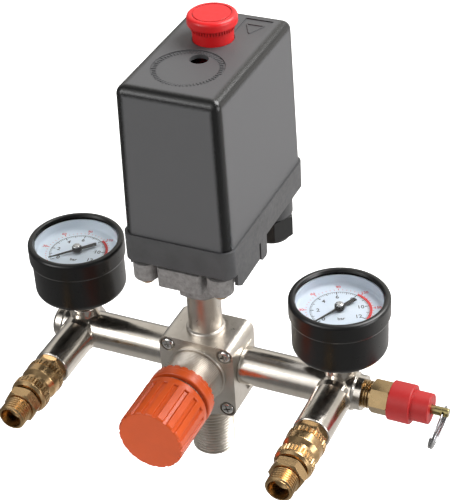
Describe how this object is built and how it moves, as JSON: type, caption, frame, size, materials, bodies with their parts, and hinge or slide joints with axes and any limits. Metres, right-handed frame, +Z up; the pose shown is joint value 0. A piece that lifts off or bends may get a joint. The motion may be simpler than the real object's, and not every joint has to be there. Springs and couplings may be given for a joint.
{
  "type": "pressure switch",
  "caption": "Air compressor pressure switch on a manifold with a regulator, two gauges, two outlet couplers and a safety valve.",
  "frame": {"origin": "centre of the end face of the male tank thread", "axes": "+Z up along the tank thread into the switch, -Y towards the regulator knob and outlets, +X along the manifold towards the safety valve"},
  "size_m": [0.2096, 0.1353, 0.2201],
  "materials": {
    "nickel": "bright nickel plate",
    "steel_bright": "bright",
    "steel_spring": "drawn wire",
    "rubber_black": "matte",
    "brass": "machined",
    "orange_plastic": "satin",
    "black_gauge": "semi-gloss",
    "clear_lens": "clear",
    "dial_white": "satin",
    "red_anodised": "anodised satin",
    "grey_casting": "rough cast paint",
    "zinc_yellow": "yellow zinc",
    "zinc_steel": "zinc",
    "charcoal_plastic": "fine texture",
    "black_plastic": "satin",
    "red_plastic": "satin"
  },
  "bodies": {
    "manifold": {"manifold_body": "nickel", "regulator_bonnet": "nickel", "left_gauge_socket": "nickel", "right_gauge_socket": "nickel", "bonnet_screws": "steel_bright", "regulator_spring": "steel_spring", "valve_spring": "steel_spring", "left_coupler_spring": "steel_spring", "right_coupler_spring": "steel_spring", "safety_spring": "steel_spring", "range_spring": "steel_spring", "left_coupler_balls": "steel_spring", "right_coupler_balls": "steel_spring", "regulator_diaphragm": "rubber_black", "switch_diaphragm": "rubber_black", "gland_seals": "rubber_black", "valve_seat": "brass", "left_coupler_body": "brass", "right_coupler_body": "brass", "left_outlet_nipple": "brass", "right_outlet_nipple": "brass", "safety_body": "brass", "left_gauge_bourdon_tube": "brass", "right_gauge_bourdon_tube": "brass", "left_gauge_case": "black_gauge", "right_gauge_case": "black_gauge", "left_gauge_bezel": "black_gauge", "right_gauge_bezel": "black_gauge", "left_gauge_lens": "clear_lens", "right_gauge_lens": "clear_lens", "left_gauge_dial": "dial_white", "right_gauge_dial": "dial_white", "safety_cap": "red_anodised", "diaphragm_housing": "grey_casting", "housing_screws": "zinc_yellow", "terminal_screws": "zinc_yellow", "switch_frame": "zinc_steel", "switch_cover": "charcoal_plastic", "switch_base": "black_plastic", "gland_nuts": "black_plastic", "contact_block": "black_plastic"},
    "regulator_valve": {"diaphragm_plate": "steel_bright", "valve_poppet": "brass"},
    "spring_seat": {"spring_seat": "steel_bright"},
    "regulator_knob": {"regulator_knob": "orange_plastic"},
    "lock_ring": {"lock_ring": "orange_plastic"},
    "left_needle": {"left_gauge_needle": "black_gauge"},
    "right_needle": {"right_gauge_needle": "black_gauge"},
    "left_sleeve": {"left_coupler_sleeve": "brass"},
    "right_sleeve": {"right_coupler_sleeve": "brass"},
    "safety_lift": {"safety_stem": "brass", "safety_disc": "rubber_black"},
    "pull_ring": {"pull_ring": "steel_bright"},
    "pressure_lever": {"pressure_lever": "zinc_steel"},
    "switch_plunger": {"switch_plunger": "steel_bright"},
    "adjusting_screw": {"adjusting_screw": "zinc_yellow"},
    "range_nut": {"range_nut": "zinc_yellow"},
    "on_off_knob": {"on_off_knob": "red_plastic"},
    "contact_lever": {"contact_lever": "black_plastic"}
  },
  "joints": [
    {"name": "regulator_valve_travel", "type": "slide", "parent": "manifold", "child": "regulator_valve", "axis": [0, 1, 0], "range_m": [0, 0.0008], "stiffness_N_per_m": 2000, "deforming": ["regulator_diaphragm", "valve_spring", "regulator_spring"]},
    {"name": "regulator_knob_travel", "type": "slide", "parent": "manifold", "child": "spring_seat", "axis": [0, 1, 0], "range_m": [-0.003, 0.002], "deforming": ["regulator_spring"]},
    {"name": "regulator_knob_turn", "type": "hinge", "parent": "spring_seat", "child": "regulator_knob", "pos_m": [0, -0.05, 0.053], "axis": [0, 1, 0], "range_deg": [-1080, 720]},
    {"name": "lock_ring_turn", "type": "hinge", "parent": "manifold", "child": "lock_ring", "pos_m": [0, -0.029, 0.053], "axis": [0, 1, 0], "range_deg": [-90, 90]},
    {"name": "left_needle_turn", "type": "hinge", "parent": "manifold", "child": "left_needle", "pos_m": [-0.0669, 0.0018, 0.098], "axis": [0, 0, -1], "range_deg": [0, 251.4]},
    {"name": "right_needle_turn", "type": "hinge", "parent": "manifold", "child": "right_needle", "pos_m": [0.0669, 0.0018, 0.098], "axis": [0, 0, -1], "range_deg": [0, 251.4]},
    {"name": "left_sleeve_travel", "type": "slide", "parent": "manifold", "child": "left_sleeve", "axis": [0, 1, 0], "range_m": [0, 0.0018], "stiffness_N_per_m": 1500, "deforming": ["left_coupler_spring"]},
    {"name": "right_sleeve_travel", "type": "slide", "parent": "manifold", "child": "right_sleeve", "axis": [0, 1, 0], "range_m": [0, 0.0018], "stiffness_N_per_m": 1500, "deforming": ["right_coupler_spring"]},
    {"name": "safety_lift_travel", "type": "slide", "parent": "manifold", "child": "safety_lift", "axis": [1, 0, 0], "range_m": [0, 0.003], "stiffness_N_per_m": 3000, "deforming": ["safety_spring"]},
    {"name": "pull_ring_swing", "type": "hinge", "parent": "safety_lift", "child": "pull_ring", "pos_m": [0.117, 0, 0.0539], "axis": [0, 1, 0], "range_deg": [-60, 36]},
    {"name": "pressure_lever_swing", "type": "hinge", "parent": "manifold", "child": "pressure_lever", "pos_m": [0, -0.0135, 0.1305], "axis": [1, 0, 0], "range_deg": [0, 2.2], "stiffness_Nm_per_rad": 2, "deforming": ["range_spring"]},
    {"name": "switch_plunger_travel", "type": "slide", "parent": "manifold", "child": "switch_plunger", "axis": [0, 0, 1], "range_m": [0, 0.00055], "deforming": ["switch_diaphragm"]},
    {"name": "adjusting_screw_turn", "type": "hinge", "parent": "manifold", "child": "adjusting_screw", "pos_m": [0, 0.0126, 0.17], "axis": [0, 0, -1], "range_deg": [-1080, 1080]},
    {"name": "range_nut_travel", "type": "slide", "parent": "manifold", "child": "range_nut", "axis": [0, 0, 1], "range_m": [-0.003, 0.003], "deforming": ["range_spring"]},
    {"name": "on_off_knob_travel", "type": "slide", "parent": "manifold", "child": "on_off_knob", "axis": [0, 0, -1], "range_m": [0, 0.0045]},
    {"name": "contact_lever_swing", "type": "hinge", "parent": "manifold", "child": "contact_lever", "pos_m": [0, 0.045, 0.151], "axis": [1, 0, 0], "range_deg": [0, 19.5]}
  ],
  "couplings": [
    {"joint": "regulator_knob_turn", "follows": "regulator_knob_travel", "rad_per_m": 6283.2},
    {"joint": "switch_plunger_travel", "follows": "pressure_lever_swing", "m_per_rad": 0.0135},
    {"joint": "adjusting_screw_turn", "follows": "range_nut_travel", "rad_per_m": 6283.2},
    {"joint": "contact_lever_swing", "follows": "on_off_knob_travel", "rad_per_m": 75.19}
  ]
}
